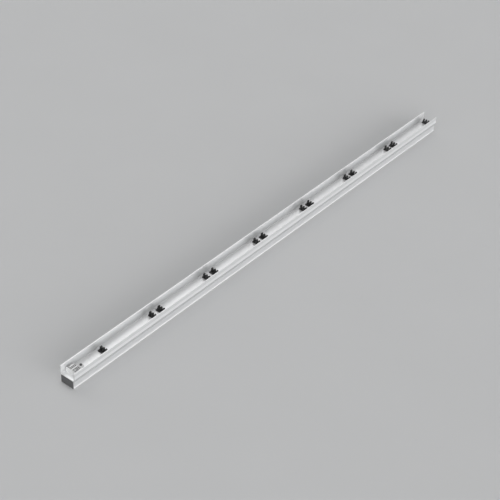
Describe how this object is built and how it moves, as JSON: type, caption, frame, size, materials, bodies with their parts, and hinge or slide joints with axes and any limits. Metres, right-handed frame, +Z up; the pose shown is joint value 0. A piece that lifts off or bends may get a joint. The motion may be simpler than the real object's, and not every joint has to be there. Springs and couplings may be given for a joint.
{
  "type": "rack power rail",
  "caption": "Long extruded aluminium power rail: an open channel with pairs of black three-finger connectors in its floor for plug-in modules, over a closed wire chamber.",
  "frame": {"origin": "middle of the underside", "axes": "+X along the rail away from the infeed end, +Z up out of the channel"},
  "size_m": [1.915, 0.0606, 0.059],
  "materials": {
    "satin_aluminium": "satin anodised",
    "dark_grey_plastic": "matte",
    "light_grey_plastic": "matte",
    "black_screw": "black oxide",
    "black_plastic": "matte"
  },
  "bodies": {
    "root": {"rail_profile": "satin_aluminium", "near_end_cap": "dark_grey_plastic", "far_end_cap": "dark_grey_plastic", "infeed_cover": "light_grey_plastic", "infeed_cover_screw": "black_screw", "slot1_connector_a": "black_plastic", "slot1_connector_b": "black_plastic", "slot2_connector_a": "black_plastic", "slot2_connector_b": "black_plastic", "slot3_connector_a": "black_plastic", "slot3_connector_b": "black_plastic", "slot4_connector_a": "black_plastic", "slot4_connector_b": "black_plastic", "slot5_connector_a": "black_plastic", "slot5_connector_b": "black_plastic", "slot6_connector_a": "black_plastic", "slot6_connector_b": "black_plastic", "slot7_connector_a": "black_plastic", "slot7_connector_b": "black_plastic"}
  },
  "joints": []
}
